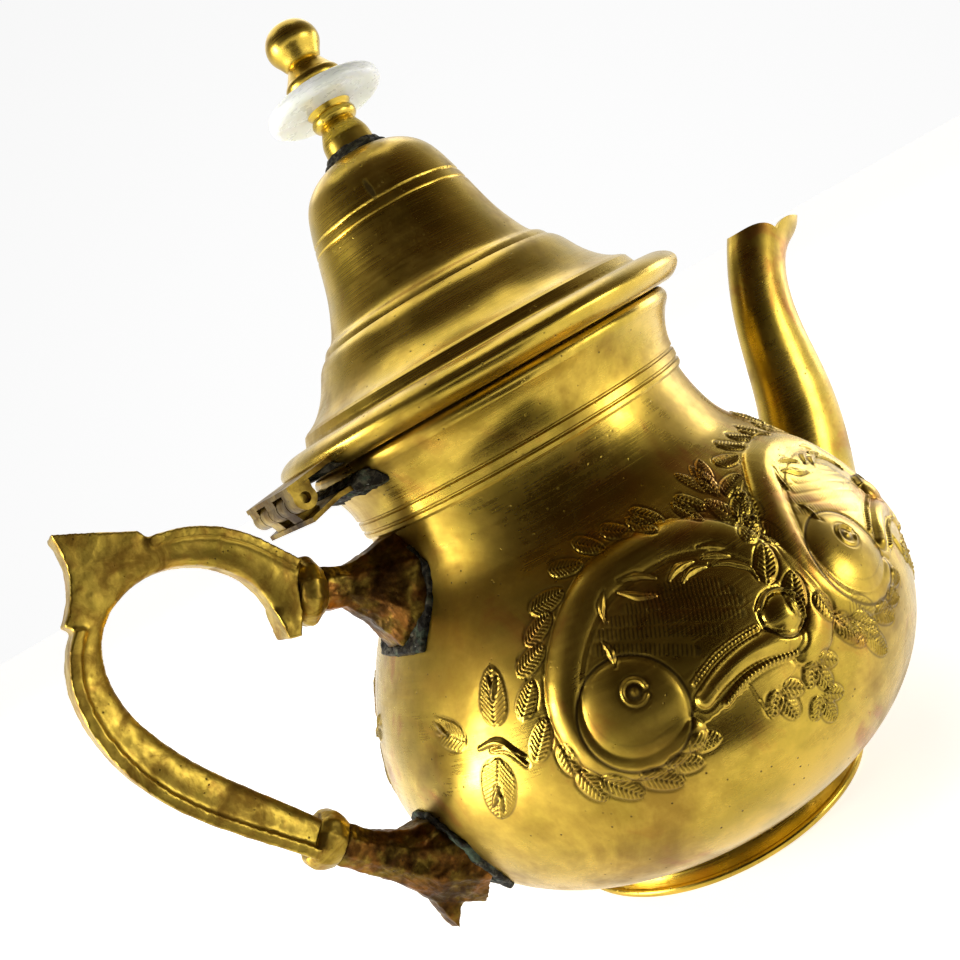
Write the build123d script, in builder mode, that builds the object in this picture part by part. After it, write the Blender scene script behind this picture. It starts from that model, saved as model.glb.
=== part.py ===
"""Hinged-lid brass teapot with a curved spout, a cast handle and a turned lid finial.

Frame, in millimetres: +Z runs up the pot's axis, +X points to the spout and -X to the handle.
The origin is the centre of the foot ring's resting plane. The lid turns about a pin that is
parallel to Y, on the handle side of the rim.
"""
import os
from math import cos, pi, radians, sin

from build123d import *

os.makedirs("parts", exist_ok=True)

# ---------------------------------------------------------------- driving dimensions
WALL = 1.2            # sheet thickness of the body and the spout
LID_WALL = 1.0        # sheet thickness of the lid and the neck collar
BITE = 0.1            # how far a soldered piece sits into the one it is soldered to

BASE_Z = 5.4          # underside of the body, above the foot's resting plane
NECK_R = 36.5         # outside radius of the body's neck
NECK_TOP = 89.4       # top edge of the body's neck, inside the collar
LIP_Z = 101.4         # top of the neck collar's rounded lip
LIP_R = 41.4          # outside radius of that lip

BRIM_R = 46.4         # widest radius of the lid's rolled brim
BRIM_LOW = 101.6      # lowest point of the brim, just over the lip
LID_TOP = 155.2       # top of the lid's crown

DISC_R = 12.6         # translucent disc in the finial
DISC_Z = 167.4        # its middle height
DISC_T = 3.2
KNOB_TOP = 184.4
STEM_R = 1.9          # knob's stem, through the disc and into the spool
STEM_LOW = 162.0

HINGE_X = -51.7       # hinge pin axis
HINGE_Z = 100.1
HINGE_R = 2.2         # outside radius of the knuckles
PIN_R = 1.0
PIN_GAP = 0.06        # radial clearance between the pin and the lid's knuckles
HINGE_LENGTH = 26.0
KNUCKLES = 5
KNUCKLE_GAP = 0.35    # space between neighbouring knuckles along the pin

BOW_WIDTH = 8.0       # handle bow, across Y
FLANGE_WIDTH = 9.6    # band round the bow's outer edge
FLANGE_DEPTH = 1.9

# Outside of the body from the base to the neck, as (radius, height).
BODY_PROFILE = [
    (30.0, BASE_Z), (41.0, 9.0), (50.6, 16.2), (57.0, 27.0), (58.7, 36.5), (56.3, 48.0),
    (50.4, 60.0), (44.4, 68.2), (40.3, 73.0), (38.0, 78.5), (36.8, 84.0), (NECK_R, NECK_TOP),
]
# Outside of the lid's crown down to its upper ridge, then from the ridge to the lower step.
CROWN_PROFILE = [
    (0.0, LID_TOP), (6.4, 154.6), (11.2, 152.6), (14.2, 149.6), (15.9, 145.8), (17.3, 141.2),
    (18.6, 136.4), (20.0, 131.8), (22.0, 127.2), (24.4, 123.6), (26.6, 121.6),
]
SHOULDER_PROFILE = [(26.6, 121.6), (28.7, 119.6), (30.3, 116.9), (32.7, 113.7), (37.3, 110.5)]

# Spout stations: centre (x, z), direction above the horizontal, half depth in the XZ plane,
# half width across Y.
SPOUT = [
    ((41.0, 27.6), 20, 13.6, 12.6),
    ((58.0, 30.4), 34, 15.4, 12.0),
    ((69.6, 39.0), 54, 13.4, 10.6),
    ((76.6, 50.0), 66, 11.6, 9.2),
    ((80.8, 62.0), 74, 10.5, 8.2),
    ((83.0, 74.0), 76, 9.3, 7.2),
    ((86.0, 84.5), 68, 8.4, 6.5),
    ((90.6, 93.0), 56, 8.2, 6.1),
    ((97.2, 100.0), 43, 9.2, 6.0),
    ((105.2, 106.0), 36, 10.2, 5.6),
]
SPOUT_SOLDER = 1.6    # width of the solder fillet round the spout's foot
NOTCH = (96.8, 98.6)  # side notch of the mouth, where the two halves part
HOLE_D = 3.2          # strainer holes through the body behind the spout


# ---------------------------------------------------------------- shared helpers
def inset(points, distance):
    """Shift an open run of profile points to its left-hand side by a distance."""
    shifted = []
    for i, (r, z) in enumerate(points):
        before = points[max(i - 1, 0)]
        after = points[min(i + 1, len(points) - 1)]
        run = Vector(after[0] - before[0], after[1] - before[1]).normalized()
        shifted.append((r - run.Y * distance, z + run.X * distance))
    return shifted


def body_solid(grow):
    """The body's outside as a solid, grown outwards by a distance."""
    outline = inset(BODY_PROFILE, -grow)
    with BuildPart() as solid:
        with BuildSketch(Plane.XZ):
            with BuildLine():
                side = Spline(*outline)
                Polyline(side @ 1, (0, outline[-1][1]), (0, outline[0][1]), side @ 0)
            make_face()
        revolve(axis=Axis.Z)
    return solid.part


def section_plane(centre, angle):
    """Plane square to a run in XZ that climbs at an angle, with its local X along Y."""
    run = (cos(radians(angle)), 0, sin(radians(angle)))
    return Plane(origin=(centre[0], 0, centre[1]), x_dir=(0, 1, 0), z_dir=run)


def facetted(half_y, half_z, count=8):
    """Corner points of a flat-sided oval, with a corner on neither axis."""
    step = 2 * pi / count
    return [(half_y * cos((i + 0.5) * step), half_z * sin((i + 0.5) * step)) for i in range(count)]


def ring_part(points_or_arcs):
    """A ring turned from a closed outline of (radius, height) points."""
    with BuildPart() as ring:
        with BuildSketch(Plane.XZ):
            with BuildLine():
                Polyline(*points_or_arcs, close=True)
            make_face()
        revolve(axis=Axis.Z)
    return ring.part


def cut_by(part, *others):
    """A piece with its neighbours' volume taken out of it, and any sliver left inside them dropped."""
    with BuildPart() as trimmed:
        add(part)
        for other in others:
            add(other, mode=Mode.SUBTRACT)
    return trimmed.part.solids().sort_by(SortBy.VOLUME)[-1]


def save(part, name):
    part.label = name
    export_step(part, "parts/" + name + ".step")


# ---------------------------------------------------------------- body
def make_body_shell():
    """Spun and chased belly with a flat base, an open neck and strainer holes."""
    inner = inset(BODY_PROFILE, WALL)
    inner[0] = (inner[0][0], BASE_Z + WALL)
    inner[-1] = (NECK_R - WALL, NECK_TOP)
    with BuildPart() as shell:
        with BuildSketch(Plane.XZ):
            with BuildLine():
                outside = Spline(*BODY_PROFILE)
                inside = Spline(*inner)
                Line(outside @ 1, inside @ 1)
                Polyline(inside @ 0, (0, BASE_Z + WALL), (0, BASE_Z), outside @ 0)
            make_face()
        revolve(axis=Axis.Z)
        strainer = Plane(origin=(62, 0, 30), x_dir=(0, 1, 0), z_dir=(1, 0, 0.12))
        with BuildSketch(strainer):
            Circle(HOLE_D / 2)
            with PolarLocations(6.2, 6):
                Circle(HOLE_D / 2)
        extrude(amount=-14, mode=Mode.SUBTRACT)
    return shell.part


def make_foot_ring():
    """Flared foot with a small bead along its resting edge."""
    top = BASE_Z + BITE
    with BuildPart() as foot:
        with BuildSketch(Plane.XZ):
            with BuildLine():
                Polyline((29.6, top), (31.6, top + 0.3))
                ThreePointArc((31.6, top + 0.3), (32.2, 3.4), (33.6, 1.7))
                ThreePointArc((33.6, 1.7), (34.4, 0.9), (33.8, 0))
                Polyline((33.8, 0), (32.4, 0), (32.0, 1.4))
                ThreePointArc((32.0, 1.4), (30.5, 3.2), (29.6, top))
            make_face()
        revolve(axis=Axis.Z)
    return foot.part


def make_neck_collar():
    """Collar soldered over the neck: two turned grooves, then a flared lip."""
    outside = NECK_R + 1.0
    inside = NECK_R + 0.1
    with BuildPart() as collar:
        with BuildSketch(Plane.XZ):
            with BuildLine():
                Polyline((inside, 85.8), (outside - 0.3, 85.8), (outside, 86.3), (outside, 87.0))
                ThreePointArc((outside, 87.0), (outside - 0.45, 87.4), (outside, 87.8))
                Line((outside, 87.8), (outside, 89.2))
                ThreePointArc((outside, 89.2), (outside - 0.45, 89.6), (outside, 90.0))
                flare = Spline((outside, 90.0), (38.0, 93.0), (39.4, 96.2), (41.0, 98.4))
                ThreePointArc(flare @ 1, (LIP_R, 99.8), (LIP_R - 1.0, LIP_Z))
                Line((LIP_R - 1.0, LIP_Z), (39.4, LIP_Z - 0.2))
                throat = Spline((39.4, LIP_Z - 0.2), (39.2, 98.6), (37.6, 94.8), (inside, 90.4))
                Line(throat @ 1, (inside, 85.8))
            make_face()
        revolve(axis=Axis.Z)
    return collar.part


# ---------------------------------------------------------------- spout
def spout_loft(grow, overrun=0.0):
    """Solid spout, grown by a distance all round and lengthened at both ends by the overrun."""
    ends = {0: -overrun, len(SPOUT) - 1: overrun}
    with BuildPart() as solid:
        for i, (centre, angle, depth, width) in enumerate(SPOUT):
            push = ends.get(i, 0)
            place = (centre[0] + push * cos(radians(angle)), centre[1] + push * sin(radians(angle)))
            with BuildSketch(section_plane(place, angle)):
                Ellipse(width + grow, depth + grow)
        loft()
    return solid.part


def spout_side(front):
    """Slab in front of or behind the spout's centre line, trimmed to the mouth's outline."""
    centres = [station[0] for station in SPOUT]
    first = (centres[0][0] - 14, centres[0][1] - 5)
    seam = [first] + centres[:-2] + [NOTCH]
    with BuildPart() as slab:
        with BuildSketch(Plane.XZ):
            with BuildLine():
                line = Spline(*seam)
                if front:
                    mouth = Spline(line @ 1, (101.2, 100.2), (107.3, 99.4), (116.0, 98.8))
                    Polyline(mouth @ 1, (130, 96), (130, -10), (seam[0][0], -10), line @ 0)
                else:
                    mouth = Spline(line @ 1, (94.4, 101.4), (89.4, 102.7), (84.0, 101.8), (76.0, 98.0))
                    Polyline(mouth @ 1, (20, 99), (20, seam[0][1]), line @ 0)
            make_face()
        extrude(amount=25, both=True)
    return slab.part


def make_spout_half(front):
    with BuildPart() as half:
        add(spout_loft(0))
        add(spout_loft(-WALL, 1.0), mode=Mode.SUBTRACT)
        add(body_solid(-BITE), mode=Mode.SUBTRACT)
        add(spout_side(front), mode=Mode.INTERSECT)
    return half.part


def make_spout_solder():
    """Solder fillet that follows the spout's foot over the belly."""
    with BuildPart() as fillet_ring:
        add(spout_loft(SPOUT_SOLDER - 0.4))
        add(body_solid(SPOUT_SOLDER - 0.2), mode=Mode.INTERSECT)
        add(spout_loft(-BITE, 1.0), mode=Mode.SUBTRACT)
        add(body_solid(-BITE), mode=Mode.SUBTRACT)
    return fillet_ring.part


# ---------------------------------------------------------------- lid
def make_lid():
    """Bell-shaped lid: crown, ridge, shoulder, stepped riser and a rolled brim."""
    crown_in = inset(CROWN_PROFILE, -LID_WALL)
    crown_in[0] = (0.0, LID_TOP - LID_WALL)
    shoulder_in = inset(SHOULDER_PROFILE, -LID_WALL)
    ridge_in = ((crown_in[-1][0] + shoulder_in[0][0]) / 2, (crown_in[-1][1] + shoulder_in[0][1]) / 2)
    crown_in[-1] = ridge_in
    shoulder_in[0] = ridge_in
    with BuildPart() as lid:
        with BuildSketch(Plane.XZ):
            with BuildLine():
                crown = Spline(*CROWN_PROFILE, tangents=((1, 0), (0.55, -1)))
                shoulder = Spline(*SHOULDER_PROFILE)
                Polyline(shoulder @ 1, (38.0, 110.0), (38.6, 108.7))
                ThreePointArc((38.6, 108.7), (39.3, 107.7), (40.8, 107.4))
                brim = Spline((40.8, 107.4), (43.6, 107.4), (BRIM_R, 104.8), (44.6, 102.2), (42.0, BRIM_LOW))
                Line(brim @ 1, (41.2, BRIM_LOW + 0.1))
                lining = Spline((41.2, BRIM_LOW + 0.1), (41.6, 102.6), (43.9, 103.3), (45.2, 104.9), (43.2, 106.4),
                                (40.8, 106.4))
                ThreePointArc(lining @ 1, (38.5, 106.8), (37.6, 108.4))
                Polyline((37.6, 108.4), (37.1, 109.3), shoulder_in[-1])
                Spline(*reversed(shoulder_in))
                Spline(*reversed(crown_in), tangents=((-0.55, 1), (-1, 0)))
                Line((0, LID_TOP - LID_WALL), (0, LID_TOP))
            make_face()
        revolve(axis=Axis.Z)
        for groove_r, groove_z in ((17.7, 139.9), (17.05, 142.1)):
            with BuildSketch(Plane.XZ):
                with Locations((groove_r + 0.18, groove_z)):
                    Circle(0.5)
            revolve(axis=Axis.Z, mode=Mode.SUBTRACT)
    return lid.part


# ---------------------------------------------------------------- finial
def make_finial_spool():
    """Turned spool between the crown and the disc."""
    low = LID_TOP - BITE
    high = DISC_Z - DISC_T / 2
    with BuildPart() as spool:
        with BuildSketch(Plane.XZ):
            with BuildLine():
                outline = Spline((5.6, low), (5.3, 157.2), (5.1, 159.2), (4.4, 160.9), (3.7, 162.2))
                bead = ThreePointArc(outline @ 1, (4.9, 163.4), (4.2, 164.8))
                Polyline(bead @ 1, (4.9, high), (STEM_R, high), (STEM_R, STEM_LOW), (0, STEM_LOW), (0, low),
                         outline @ 0)
            make_face()
        revolve(axis=Axis.Z)
    return spool.part


def make_finial_disc():
    """Round disc with a rounded edge, bored for the knob's stem."""
    with BuildPart() as disc:
        with BuildSketch(Plane.XY.offset(DISC_Z - DISC_T / 2)):
            Circle(DISC_R)
            Circle(STEM_R + 0.1, mode=Mode.SUBTRACT)
        extrude(amount=DISC_T)
        fillet(disc.edges().filter_by(GeomType.CIRCLE).group_by(SortBy.RADIUS)[-1], 1.4)
    return disc.part


def make_finial_knob():
    """Baluster and ball, with the stem that passes through the disc into the spool."""
    low = DISC_Z + DISC_T / 2
    with BuildPart() as knob:
        with BuildSketch(Plane.XZ):
            with BuildLine():
                Polyline((0, STEM_LOW), (STEM_R, STEM_LOW), (STEM_R, low), (5.2, low), (5.4, 170.2))
                skirt = ThreePointArc((5.4, 170.2), (6.2, 171.6), (5.5, 173.0))
                cone = Spline(skirt @ 1, (4.6, 174.3), (3.6, 175.9))
                ball = Spline(cone @ 1, (4.4, 177.0), (5.6, 179.2), (5.6, 181.2), (4.0, 183.6), (0, KNOB_TOP),
                              tangents=((1, 0.5), (-1, 0)))
                Line(ball @ 1, (0, STEM_LOW))
            make_face()
        revolve(axis=Axis.Z)
    return knob.part


def make_finial_solder():
    """Low collar of solder where the spool stands on the crown."""
    low = LID_TOP - 1.4
    return ring_part([(4.6, low), (7.4, low), (7.2, 154.9), (6.5, 155.5), (5.9, 156.5), (4.6, 156.7)])


def make_finial_rivet():
    """Peened end of the finial's stem inside the crown."""
    top = LID_TOP - LID_WALL + 0.2
    return ring_part([(0, top), (4.4, top), (4.2, top - 0.9), (2.6, top - 1.9), (0, top - 2.2)])


# ---------------------------------------------------------------- hinge
def knuckle_spans():
    """(low y, high y, belongs to the lid) for each knuckle along the pin."""
    pitch = HINGE_LENGTH / KNUCKLES
    spans = []
    for i in range(KNUCKLES):
        low = -HINGE_LENGTH / 2 + i * pitch
        spans.append((low + KNUCKLE_GAP / 2, low + pitch - KNUCKLE_GAP / 2, i % 2 == 0))
    return spans


def knuckle_row(for_lid, web):
    """One leaf's knuckle tubes, each with the web that joins it to its leaf."""
    with BuildPart() as row:
        for low, high, on_lid in knuckle_spans():
            if on_lid != for_lid:
                continue
            with BuildSketch(Plane.XZ.offset(-high)):
                with Locations((HINGE_X, HINGE_Z)):
                    Circle(HINGE_R)
                with BuildLine():
                    Polyline(*web, close=True)
                make_face()
            extrude(amount=high - low)
    return row.part


def make_lid_leaf():
    """Thin leaf that slopes up from the three outer knuckles to the brim's edge."""
    back = HINGE_X - 2.3
    low = HINGE_Z + HINGE_R - 0.1
    with BuildPart() as leaf:
        with BuildSketch(Plane.XZ.offset(-HINGE_LENGTH / 2)):
            with BuildLine():
                Polyline((back, low), (back, low + 0.9), (-43.2, 104.4), (-43.2, 103.4), close=True)
            make_face()
        extrude(amount=HINGE_LENGTH)
        web = [(HINGE_X - 2.0, HINGE_Z + 0.6), (HINGE_X + 2.0, HINGE_Z + 0.6),
               (HINGE_X + 2.2, low + 0.4), (HINGE_X - 2.1, low + 0.2)]
        add(knuckle_row(True, web))
        with BuildSketch(Plane.XZ.offset(-HINGE_LENGTH)):
            with Locations((HINGE_X, HINGE_Z)):
                Circle(PIN_R + PIN_GAP)
        extrude(amount=2 * HINGE_LENGTH, mode=Mode.SUBTRACT)
    return leaf.part


def make_body_leaf():
    """Leaf that runs from the two inner knuckles under the brim to the neck collar."""
    neck = -37.4
    with BuildPart() as leaf:
        with BuildSketch(Plane.XZ.offset(-HINGE_LENGTH / 2)):
            with BuildLine():
                Polyline((HINGE_X - 0.8, 96.5), (-46.0, 97.9), (neck, 97.9), (neck, 97.0),
                         (-46.0, 97.0), (HINGE_X - 0.8, 95.6), close=True)
            make_face()
        extrude(amount=HINGE_LENGTH)
        web = [(HINGE_X - 1.4, HINGE_Z - 1.6), (HINGE_X + 1.9, HINGE_Z - 1.1),
               (HINGE_X + 3.6, 97.2), (HINGE_X - 0.4, 96.2)]
        add(knuckle_row(False, web))
        with BuildSketch(Plane.XZ.offset(-HINGE_LENGTH)):
            with Locations((HINGE_X, HINGE_Z)):
                Circle(PIN_R)
        extrude(amount=2 * HINGE_LENGTH, mode=Mode.SUBTRACT)
    return leaf.part


def make_hinge_pin():
    """Pin held by the body's knuckles, its near end set back inside the open knuckle."""
    with BuildPart() as pin:
        with BuildSketch(Plane.XZ.offset(-HINGE_LENGTH / 2 + 0.6)):
            with Locations((HINGE_X, HINGE_Z)):
                Circle(PIN_R)
        extrude(amount=HINGE_LENGTH - 2.6)
    return pin.part


def make_body_leaf_solder():
    """Solder round the body leaf's root, above and below it, down the neck to the upper bracket."""
    with BuildPart() as wedge:
        with BuildSketch(Plane.XZ.offset(-HINGE_LENGTH / 2 - 1.2)):
            with BuildLine():
                drop = Spline((-44.4, 96.7), (-41.2, 94.2), (-39.0, 90.6), (-37.8, 85.4))
                Polyline(drop @ 1, (-32.0, 85.4), (-32.0, 99.2), (-41.6, 99.2), (-45.0, 98.1), drop @ 0)
            make_face()
        extrude(amount=HINGE_LENGTH + 2.4)
        with BuildSketch(Plane.XY.offset(80)):
            Circle(NECK_R + 0.8 - BITE)
        extrude(amount=12, mode=Mode.SUBTRACT)
        with BuildSketch(Plane.XY.offset(90)):
            Circle(38.0)
        extrude(amount=12, mode=Mode.SUBTRACT)
    return wedge.part


def make_lid_leaf_solder():
    """Wedge of solder under the lid leaf, where it meets the rolled brim."""
    with BuildPart() as bead:
        with BuildSketch(Plane.XZ.offset(-HINGE_LENGTH / 2)):
            with BuildLine():
                Polyline((-49.0, 102.8), (-42.0, 103.6), (-42.0, 101.9), (-45.6, 101.9), close=True)
            make_face()
        extrude(amount=HINGE_LENGTH)
    return bead.part


# ---------------------------------------------------------------- handle
BOW_TOP = [(-55.2, 90.8), (-58.8, 96.6), (-63.4, 102.0), (-69.0, 105.6), (-75.9, 107.4)]
BOW_CORNER = [(-76.6, 109.2), (-82.4, 112.2), (-88.8, 115.4)]
BOW_HEEL = [(-88.8, 115.4), (-90.2, 106.4), (-94.2, 101.4)]
BOW_BACK = [(-92.9, 100.2), (-97.6, 93.0), (-98.8, 83.6), (-95.8, 70.2), (-89.0, 58.4), (-79.6, 45.4)]
BOW_INSIDE = [(-75.0, 49.6), (-84.2, 64.6), (-90.8, 78.0), (-92.6, 88.0), (-89.2, 97.6),
              (-81.4, 101.6), (-71.6, 99.6), (-65.6, 93.8), (-63.6, 86.0)]
BOW_HOOK = [(-64.2, 79.8), (-62.0, 79.2), (-57.6, 85.4)]


def make_handle_bow():
    """Cast bow with a pointed upper corner, a hooked upper end and a flange round the outside."""
    inner_back = inset(BOW_BACK, FLANGE_DEPTH)
    inner_top = inset(BOW_TOP, FLANGE_DEPTH)
    with BuildPart() as bow:
        with BuildSketch(Plane.XZ):
            with BuildLine():
                top = Spline(*BOW_TOP)
                corner = Polyline(top @ 1, *BOW_CORNER)
                heel = ThreePointArc(*BOW_HEEL)
                back = Spline(*BOW_BACK)
                Line(heel @ 1, back @ 0)
                Line(back @ 1, BOW_INSIDE[0])
                inside = Spline(*BOW_INSIDE)
                Polyline(inside @ 1, *BOW_HOOK, top @ 0)
            make_face()
        extrude(amount=BOW_WIDTH / 2, both=True)
        with BuildSketch(Plane.XZ):
            with BuildLine():
                back = Spline(*BOW_BACK)
                inner = Spline(*reversed(inner_back))
                Line(back @ 1, inner @ 0)
                Line(inner @ 1, back @ 0)
            make_face()
            with BuildLine():
                top = Spline(*BOW_TOP)
                inner = Spline(*reversed(inner_top))
                Line(top @ 1, inner @ 0)
                Line(inner @ 1, top @ 0)
            make_face()
        extrude(amount=FLANGE_WIDTH / 2, both=True)
    return bow.part


def make_upper_collar():
    """Moulded ring between the bow's hooked end and the upper bracket."""
    with BuildPart() as collar:
        for along, radius in ((0.0, 4.6), (1.2, 6.2), (2.6, 6.6), (4.0, 5.6), (5.2, 4.4)):
            with BuildSketch(section_plane((-58.2 + along * 0.9, 86.0 - along * 0.42), -25)):
                Polygon(*facetted(radius, radius, 12), align=None)
        loft()
    return collar.part


def make_upper_bracket():
    """Flared, filed casting from the collar to the belly just under the neck."""
    with BuildPart() as bracket:
        stations = [((-54.0, 84.1), 4.3, 4.3), ((-49.4, 82.0), 4.0, 4.2), ((-45.6, 79.6), 5.6, 7.0),
                    ((-41.6, 76.4), 8.8, 11.6), ((-33.0, 73.0), 11.4, 14.6)]
        for centre, half_y, half_z in stations:
            with BuildSketch(section_plane(centre, -28)):
                Polygon(*facetted(half_y, half_z), align=None)
        loft(ruled=True)
        add(body_solid(-BITE), mode=Mode.SUBTRACT)
    return bracket.part


def make_lower_ring():
    """Moulded ring at the lower end of the bow."""
    with BuildPart() as ring:
        for along, radius in ((0.0, 4.2), (1.2, 5.0), (2.8, 5.2), (4.4, 4.7), (5.6, 4.0)):
            with BuildSketch(section_plane((-77.8 + along * 0.62, 48.4 - along * 0.79), -52)):
                Polygon(*facetted(radius, radius, 12), align=None)
        loft()
    return ring.part


def make_lower_bracket():
    """Round neck that flares into a filed foot on the belly, with a spur that points down."""
    with BuildPart() as bracket:
        stations = [((-75.2, 45.2), -52, 3.9, 3.9), ((-70.8, 39.6), -46, 3.7, 3.9),
                    ((-66.6, 35.2), -36, 4.8, 4.9), ((-62.6, 31.2), -26, 7.4, 7.6),
                    ((-55.0, 28.0), -18, 9.6, 10.6)]
        for centre, angle, half_y, half_z in stations:
            with BuildSketch(section_plane(centre, angle)):
                Polygon(*facetted(half_y, half_z), align=None)
        loft(ruled=True)
        with BuildSketch(Plane.XZ):
            with BuildLine():
                Polyline((-66.4, 31.0), (-65.6, 22.4), (-64.6, 17.4), (-62.2, 20.6), (-57.0, 22.0),
                         (-55.0, 30.0), close=True)
            make_face()
        extrude(amount=2.6, both=True, taper=6)
        add(body_solid(-BITE), mode=Mode.SUBTRACT)
    return bracket.part


def make_bracket_solder(bracket_plane, half_y, half_z, thickness):
    """Oval skin of solder on the belly round the foot of a bracket."""
    with BuildPart() as patch:
        with BuildSketch(bracket_plane):
            Ellipse(half_y, half_z)
        extrude(amount=30)
        add(body_solid(thickness), mode=Mode.INTERSECT)
        add(body_solid(-BITE), mode=Mode.SUBTRACT)
    return patch.part


# ---------------------------------------------------------------- export
def main():
    body = make_body_shell()
    collar = make_neck_collar()
    save(body, "body_shell")
    save(make_foot_ring(), "foot_ring")
    save(collar, "neck_collar")

    save(make_spout_half(True), "spout_front_half")
    save(make_spout_half(False), "spout_rear_half")
    save(make_spout_solder(), "spout_base_solder")

    lid = make_lid()
    spool = make_finial_spool()
    lid_leaf = make_lid_leaf()
    save(lid, "lid_dome")
    save(cut_by(spool, lid), "finial_spool")
    save(make_finial_disc(), "finial_disc")
    save(make_finial_knob(), "finial_knob")
    save(cut_by(make_finial_solder(), lid, spool), "finial_solder")
    save(cut_by(make_finial_rivet(), lid), "finial_rivet")

    body_leaf = cut_by(make_body_leaf(), collar)
    save(cut_by(lid_leaf, lid), "hinge_lid_leaf")
    save(body_leaf, "hinge_body_leaf")
    save(make_hinge_pin(), "hinge_pin")
    save(cut_by(make_lid_leaf_solder(), lid_leaf, lid), "hinge_lid_solder")

    upper_collar = make_upper_collar()
    lower_ring = make_lower_ring()
    upper_bracket = cut_by(make_upper_bracket(), upper_collar, collar)
    lower_bracket = cut_by(make_lower_bracket(), lower_ring)
    save(cut_by(make_body_leaf_solder(), body_leaf, collar, upper_bracket), "hinge_body_solder")
    save(cut_by(make_handle_bow(), upper_collar, lower_ring), "handle_bow")
    save(upper_collar, "handle_upper_collar")
    save(upper_bracket, "handle_upper_bracket")
    save(lower_ring, "handle_lower_ring")
    save(lower_bracket, "handle_lower_bracket")

    upper = Plane(origin=(-30, 0, 72.0), x_dir=(0, 1, 0), z_dir=(-1, 0, 0))
    lower = Plane(origin=(-45, 0, 28.0), x_dir=(0, 1, 0), z_dir=(-1, 0, 0))
    upper_skin = make_bracket_solder(upper, 11.6, 12.6, 0.8)
    lower_skin = make_bracket_solder(lower, 10.6, 11.0, 0.8)
    save(cut_by(upper_skin, upper_bracket, collar), "solder_upper_bracket")
    save(cut_by(lower_skin, lower_bracket), "solder_lower_bracket")


main()
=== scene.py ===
from math import cos, pi, radians, sin

import bpy
import numpy as np
from mathutils import Matrix, Vector, noise


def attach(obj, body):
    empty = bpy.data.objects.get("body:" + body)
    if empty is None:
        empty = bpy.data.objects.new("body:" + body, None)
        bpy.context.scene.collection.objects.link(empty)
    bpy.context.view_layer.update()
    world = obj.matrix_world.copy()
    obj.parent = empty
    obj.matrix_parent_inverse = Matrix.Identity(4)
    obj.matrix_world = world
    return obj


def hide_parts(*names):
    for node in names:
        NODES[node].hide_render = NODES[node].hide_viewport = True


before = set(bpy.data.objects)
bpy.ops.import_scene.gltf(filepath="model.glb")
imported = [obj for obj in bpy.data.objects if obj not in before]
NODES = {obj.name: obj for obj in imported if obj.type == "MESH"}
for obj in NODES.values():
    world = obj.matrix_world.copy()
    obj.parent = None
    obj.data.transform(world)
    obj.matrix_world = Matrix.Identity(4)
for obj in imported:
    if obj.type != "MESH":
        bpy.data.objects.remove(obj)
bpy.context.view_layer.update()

MM = 0.001

# ---------------------------------------------------------------- sizes shared with the CAD
WALL_MM = 1.2
BASE_R_MM = 30.0
BASE_Z_MM = 5.4
NECK_TOP_MM = 89.4
BODY_PROFILE_MM = [         # radius and height of the body's outside, from its base to its neck
    (BASE_R_MM, BASE_Z_MM), (41.0, 9.0), (50.6, 16.2), (57.0, 27.0), (58.7, 36.5), (56.3, 48.0),
    (50.4, 60.0), (44.4, 68.2), (40.3, 73.0), (38.0, 78.5), (36.8, 84.0), (36.5, NECK_TOP_MM),
]
NECK_HEIGHTS_MM = (85.0, 90.0, 93.0, 96.2, 99.8)
NECK_RADII_MM = (37.0, 37.5, 38.0, 39.4, 41.4)

# ---------------------------------------------------------------- layout of the relief
RELIEF_RADIUS_MM = 57.0    # radius at which one step across a motif is one millimetre
MEDALLION_TURNS = (-115.0, -66.0)     # azimuth of each medallion's middle, on the -Y side
MEDALLION_RUN_MM = 57.9               # its middle, along the profile from the base's edge
MEDALLION_SPAN = 36                   # degrees each way that a medallion may reach
SPRIG_TURN = -150.7
SPRIG_RUN_MM = 66.4
SPRIG_SPAN = 24


# ---------------------------------------------------------------- small helpers
def smooth_curve(points, count):
    """Points evenly spread along a smooth curve through a short run of points (Catmull-Rom)."""
    p = np.array(points, float)
    p = np.vstack([2 * p[0] - p[1], p, 2 * p[-1] - p[-2]])
    spans = len(p) - 3
    out = []
    for k in range(spans):
        t = np.linspace(0, 1, 24, endpoint=(k == spans - 1))[:, None]
        a, b, c, d = p[k:k + 4]
        out.append(0.5 * (2 * b + (c - a) * t + (2 * a - 5 * b + 4 * c - d) * t ** 2
                          + (3 * b - a - 3 * c + d) * t ** 3))
    curve = np.vstack(out)
    run = np.r_[0, np.cumsum(np.linalg.norm(np.diff(curve, axis=0), axis=1))]
    even = np.linspace(0, run[-1], count)
    return np.stack([np.interp(even, run, curve[:, i]) for i in range(p.shape[1])], 1)


def cubic_profile(points, step_mm):
    """The natural cubic spline through profile points, sampled about every step_mm of its length."""
    p = np.array(points, float)
    s = np.r_[0, np.cumsum(np.linalg.norm(np.diff(p, axis=0), axis=1))]
    n = len(s)
    h = np.diff(s)
    system = np.eye(n)
    right = np.zeros((n, 2))
    for i in range(1, n - 1):
        system[i, i - 1:i + 2] = h[i - 1], 2 * (h[i - 1] + h[i]), h[i]
        right[i] = 6 * ((p[i + 1] - p[i]) / h[i] - (p[i] - p[i - 1]) / h[i - 1])
    bend = np.linalg.solve(system, right)
    at = np.arange(0, s[-1], step_mm)
    k = np.clip(np.searchsorted(s, at, side="right") - 1, 0, n - 2)
    a = ((s[k + 1] - at) / h[k])[:, None]
    b = ((at - s[k]) / h[k])[:, None]
    curve = (a * p[k] + b * p[k + 1]
             + ((a ** 3 - a) * bend[k] + (b ** 3 - b) * bend[k + 1]) * (h[k] ** 2)[:, None] / 6)
    return np.vstack([curve, p[-1]])


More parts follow.
